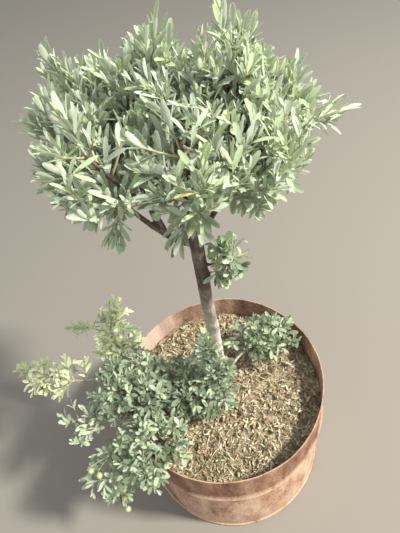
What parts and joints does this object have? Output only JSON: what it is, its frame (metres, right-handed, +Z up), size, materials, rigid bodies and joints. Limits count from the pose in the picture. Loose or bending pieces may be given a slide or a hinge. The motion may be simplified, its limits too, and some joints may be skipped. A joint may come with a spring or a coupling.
{
  "type": "potted olive tree",
  "caption": "Young olive tree with one slim trunk, a broad silvery crown and low basal shoots, planted in a rusted half steel drum.",
  "frame": {"origin": "centre of the drum's flat underside, on the ground it stands on", "axes": "+Z up along the drum's axis, -Y towards the front, +X to the right as seen from the front; most low shoots lean out over the left of the rim"},
  "size_m": [0.95, 0.599, 1.4248],
  "materials": {
    "rusted_steel": "rusted through its old paint, dull and dusty",
    "potting_soil": "dry soil under straw-coloured litter, matte",
    "olive_bark": "smooth young bark with fine cracks, matte",
    "olive_leaf": "leathery leaf, silvery sage, satin",
    "basal_shoot_leaf": "small leathery leaf, blue-green with pale tips, satin"
  },
  "bodies": {
    "root": {"bough_back": "olive_bark", "bough_front": "olive_bark", "bough_left": "olive_bark", "bough_left_back": "olive_bark", "bough_left_front": "olive_bark", "bough_right": "olive_bark", "bough_right_back": "olive_bark", "bough_right_front": "olive_bark", "crown_back": "olive_leaf", "crown_front": "olive_leaf", "crown_left": "olive_leaf", "crown_left_back": "olive_leaf", "crown_left_front": "olive_leaf", "crown_right": "olive_leaf", "crown_right_back": "olive_leaf", "crown_right_front": "olive_leaf", "crown_top_left": "olive_leaf", "crown_top_right": "olive_leaf", "drum": "rusted_steel", "leader": "olive_bark", "leader_left": "olive_bark", "low_back": "basal_shoot_leaf", "low_bough_back": "olive_bark", "low_bough_far": "olive_bark", "low_bough_foot": "olive_bark", "low_bough_front": "olive_bark", "low_bough_hanging": "olive_bark", "low_bough_left": "olive_bark", "low_bough_right": "olive_bark", "low_bough_rim": "olive_bark", "low_far": "basal_shoot_leaf", "low_foot": "basal_shoot_leaf", "low_front": "basal_shoot_leaf", "low_hanging": "basal_shoot_leaf", "low_left": "basal_shoot_leaf", "low_right": "basal_shoot_leaf", "low_rim": "basal_shoot_leaf", "soil": "potting_soil", "trunk": "olive_bark", "trunk_sprout": "basal_shoot_leaf"}
  },
  "joints": []
}
